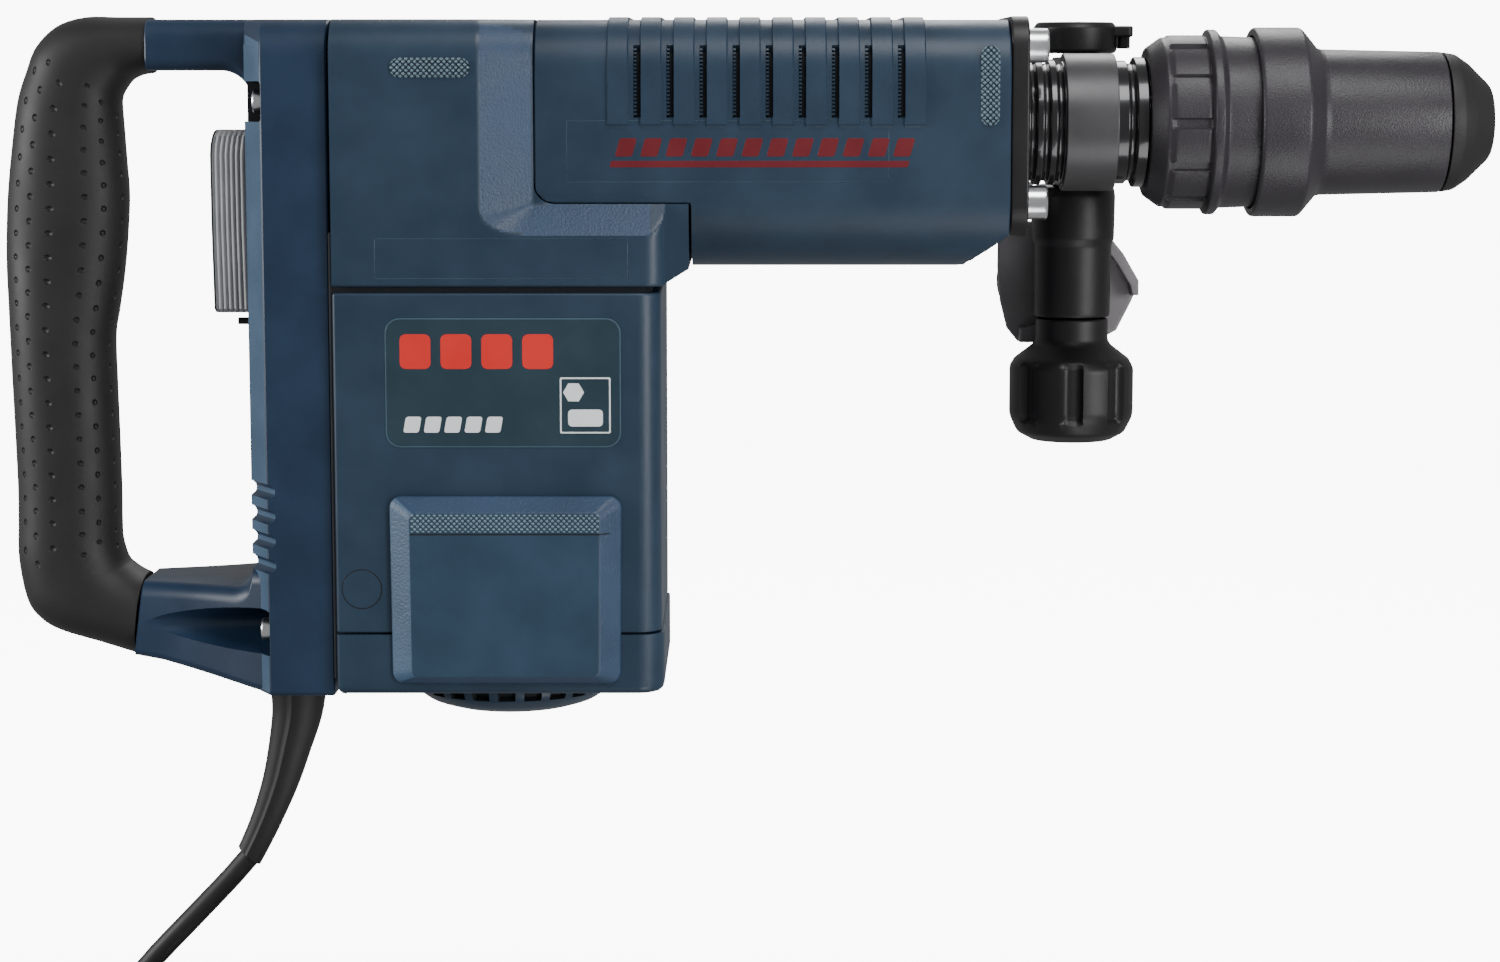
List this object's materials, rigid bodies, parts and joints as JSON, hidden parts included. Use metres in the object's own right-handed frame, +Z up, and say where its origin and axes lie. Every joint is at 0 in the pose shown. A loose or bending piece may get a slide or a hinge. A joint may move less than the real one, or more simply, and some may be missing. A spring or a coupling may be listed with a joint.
{
  "type": "demolition hammer",
  "caption": "Electric demolition hammer with a D-shaped rear handle, a turning side handle, a locking chisel socket and a coiled mains cord.",
  "frame": {"origin": "on the hammer axis, at the middle of the neck that the side handle clamps", "axes": "+X along the hammer axis towards the chisel, +Z up away from the motor, +Y towards the side handle's grip"},
  "size_m": [0.5734, 0.2984, 0.4163],
  "materials": {
    "handle_blue": "satin, fine spark texture",
    "body_blue": "satin, fine spark texture",
    "grip_rubber": "matt, dimpled",
    "black_plastic": "satin",
    "switch_grey": "matt, ribbed",
    "band_grey": "satin",
    "bright_steel": "zinc plated",
    "ground_steel": "ground",
    "neck_black": "gloss black",
    "cast_aluminium": "as cast",
    "copper": "turned copper",
    "brass": "pressed",
    "carbon": "pressed carbon"
  },
  "bodies": {
    "casing": {"armature_bearing": "ground_steel", "barrel_cover": "body_blue", "bearing_bracket": "cast_aluminium", "brush_holder": "brass", "control_module": "black_plastic", "cord_boot": "grip_rubber", "cord_coil": "grip_rubber", "crank_case": "cast_aluminium", "cylinder_tube": "ground_steel", "flange_bolt_1": "bright_steel", "flange_bolt_2": "bright_steel", "flange_bolt_3": "bright_steel", "flange_bolt_4": "bright_steel", "front_flange": "black_plastic", "gear_housing": "body_blue", "grip_core": "black_plastic", "handle_screw_1": "bright_steel", "handle_screw_2": "bright_steel", "handle_screw_3": "bright_steel", "handle_screw_4": "bright_steel", "handle_shell_left": "handle_blue", "handle_shell_right": "handle_blue", "impact_bolt_guide": "ground_steel", "mains_cord": "grip_rubber", "mains_plug": "grip_rubber", "motor_end_cap": "body_blue", "motor_housing": "body_blue", "neck_sleeve": "neck_black", "rear_grip": "grip_rubber", "stator_core": "ground_steel", "switch_block": "black_plastic", "vent_grille": "body_blue"},
    "switch": {"switch_paddle": "switch_grey"},
    "brush_cover_l": {"brush_cover_left": "body_blue"},
    "brush_cover_r": {"brush_cover_right": "body_blue"},
    "side_handle": {"clamp_band": "band_grey", "clamp_bolt": "black_plastic", "handle_bracket": "black_plastic", "side_grip": "grip_rubber"},
    "knob": {"clamp_knob": "black_plastic"},
    "tool_holder": {"tool_spindle": "ground_steel", "locking_roller_1": "ground_steel", "locking_roller_2": "ground_steel", "dust_cap": "grip_rubber", "sleeve_spring": "ground_steel"},
    "ring": {"angle_ring": "black_plastic"},
    "sleeve": {"locking_sleeve": "black_plastic"},
    "crank": {"crankshaft": "ground_steel", "crank_gear": "ground_steel"},
    "armature": {"armature_shaft": "ground_steel", "armature_core": "ground_steel", "commutator": "copper", "cooling_fan": "black_plastic"},
    "ram": {"piston": "cast_aluminium", "connecting_rod": "ground_steel", "wrist_pin": "ground_steel"},
    "striker": {"striker": "ground_steel"},
    "impact_bolt": {"impact_bolt": "ground_steel"},
    "carbon_l": {"carbon_brush_left": "carbon"},
    "carbon_r": {"carbon_brush_right": "carbon"}
  },
  "joints": [
    {"name": "switch_press", "type": "hinge", "parent": "casing", "child": "switch", "pos_m": [-0.3165, 0, -0.008], "axis": [0, -1, 0], "range_deg": [0, 5.5], "stiffness_Nm_per_rad": 1, "springref_deg": -2.86},
    {"name": "crank_spin", "type": "hinge", "parent": "casing", "child": "crank", "pos_m": [-0.2525, 0, -0.02], "axis": [0, 0, 1], "continuous": true},
    {"name": "armature_spin", "type": "hinge", "parent": "casing", "child": "armature", "pos_m": [-0.224, 0, -0.1], "axis": [0, 0, 1], "continuous": true},
    {"name": "piston_slide", "type": "slide", "parent": "casing", "child": "ram", "axis": [1, 0, 0], "range_m": [0, 0.03]},
    {"name": "striker_slide", "type": "slide", "parent": "casing", "child": "striker", "axis": [1, 0, 0], "range_m": [0, 0.024]},
    {"name": "impact_bolt_slide", "type": "slide", "parent": "casing", "child": "impact_bolt", "axis": [1, 0, 0], "range_m": [0, 0.005]},
    {"name": "side_handle_turn", "type": "hinge", "parent": "casing", "child": "side_handle", "pos_m": [0, 0, 0], "axis": [1, 0, 0], "continuous": true},
    {"name": "knob_turn", "type": "hinge", "parent": "side_handle", "child": "knob", "pos_m": [0.001, 0.052, -0.1], "axis": [0, 0, 1], "continuous": true},
    {"name": "tool_holder_turn", "type": "hinge", "parent": "casing", "child": "tool_holder", "pos_m": [0.06, 0, 0], "axis": [1, 0, 0], "continuous": true},
    {"name": "angle_ring_slide", "type": "slide", "parent": "tool_holder", "child": "ring", "axis": [1, 0, 0], "range_m": [0, 0.004], "stiffness_N_per_m": 1500, "springref_m": -0.002},
    {"name": "locking_sleeve_slide", "type": "slide", "parent": "tool_holder", "child": "sleeve", "axis": [-1, 0, 0], "range_m": [0, 0.008], "stiffness_N_per_m": 1500, "springref_m": -0.004},
    {"name": "brush_cover_left_slide", "type": "slide", "parent": "casing", "child": "brush_cover_l", "axis": [0, 0, -1], "range_m": [0, 0.015]},
    {"name": "brush_cover_right_slide", "type": "slide", "parent": "casing", "child": "brush_cover_r", "axis": [0, 0, -1], "range_m": [0, 0.015]},
    {"name": "carbon_left_lift", "type": "slide", "parent": "casing", "child": "carbon_l", "axis": [0, 1, 0], "range_m": [0, 0.01]},
    {"name": "carbon_right_lift", "type": "slide", "parent": "casing", "child": "carbon_r", "axis": [0, -1, 0], "range_m": [0, 0.01]}
  ],
  "couplings": [
    {"joint": "armature_spin", "follows": "crank_spin", "ratio": -3.75}
  ]
}
